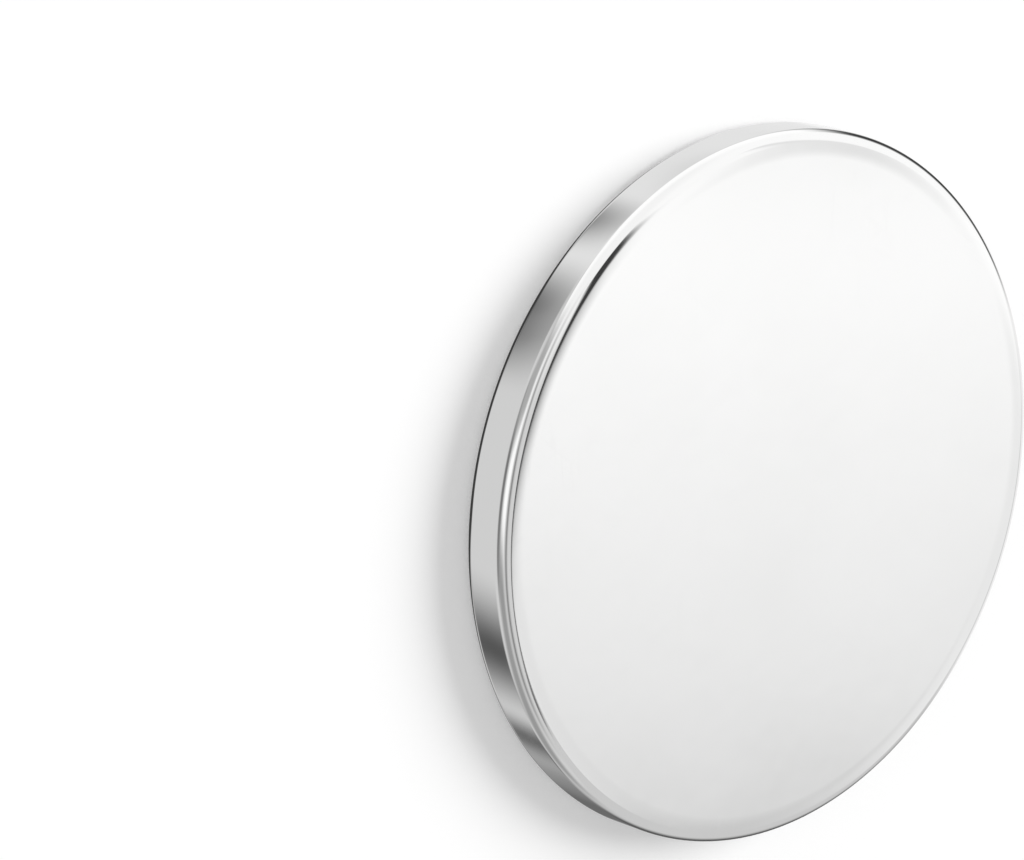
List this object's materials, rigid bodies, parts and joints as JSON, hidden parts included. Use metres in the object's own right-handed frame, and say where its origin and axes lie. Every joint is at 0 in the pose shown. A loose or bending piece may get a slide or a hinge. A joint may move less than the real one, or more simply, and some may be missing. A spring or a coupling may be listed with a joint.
{
  "type": "disc magnet",
  "caption": "Thin round disc magnet with two flat faces, softly rounded rims and a bright nickel-plated finish, for holding, closing and sensing.",
  "frame": {"origin": "centre of the lower flat face, on the surface the disc lies on", "axes": "+Z along the disc's axis, up through the upper flat face; X and Y lie in the face and are alike"},
  "size_m": [0.025, 0.025, 0.002],
  "materials": {
    "nickel_plate": "bright nickel plate over a sintered magnet, mirror smooth with faint tumbling marks"
  },
  "bodies": {
    "root": {"magnet_disc": "nickel_plate"}
  },
  "joints": []
}
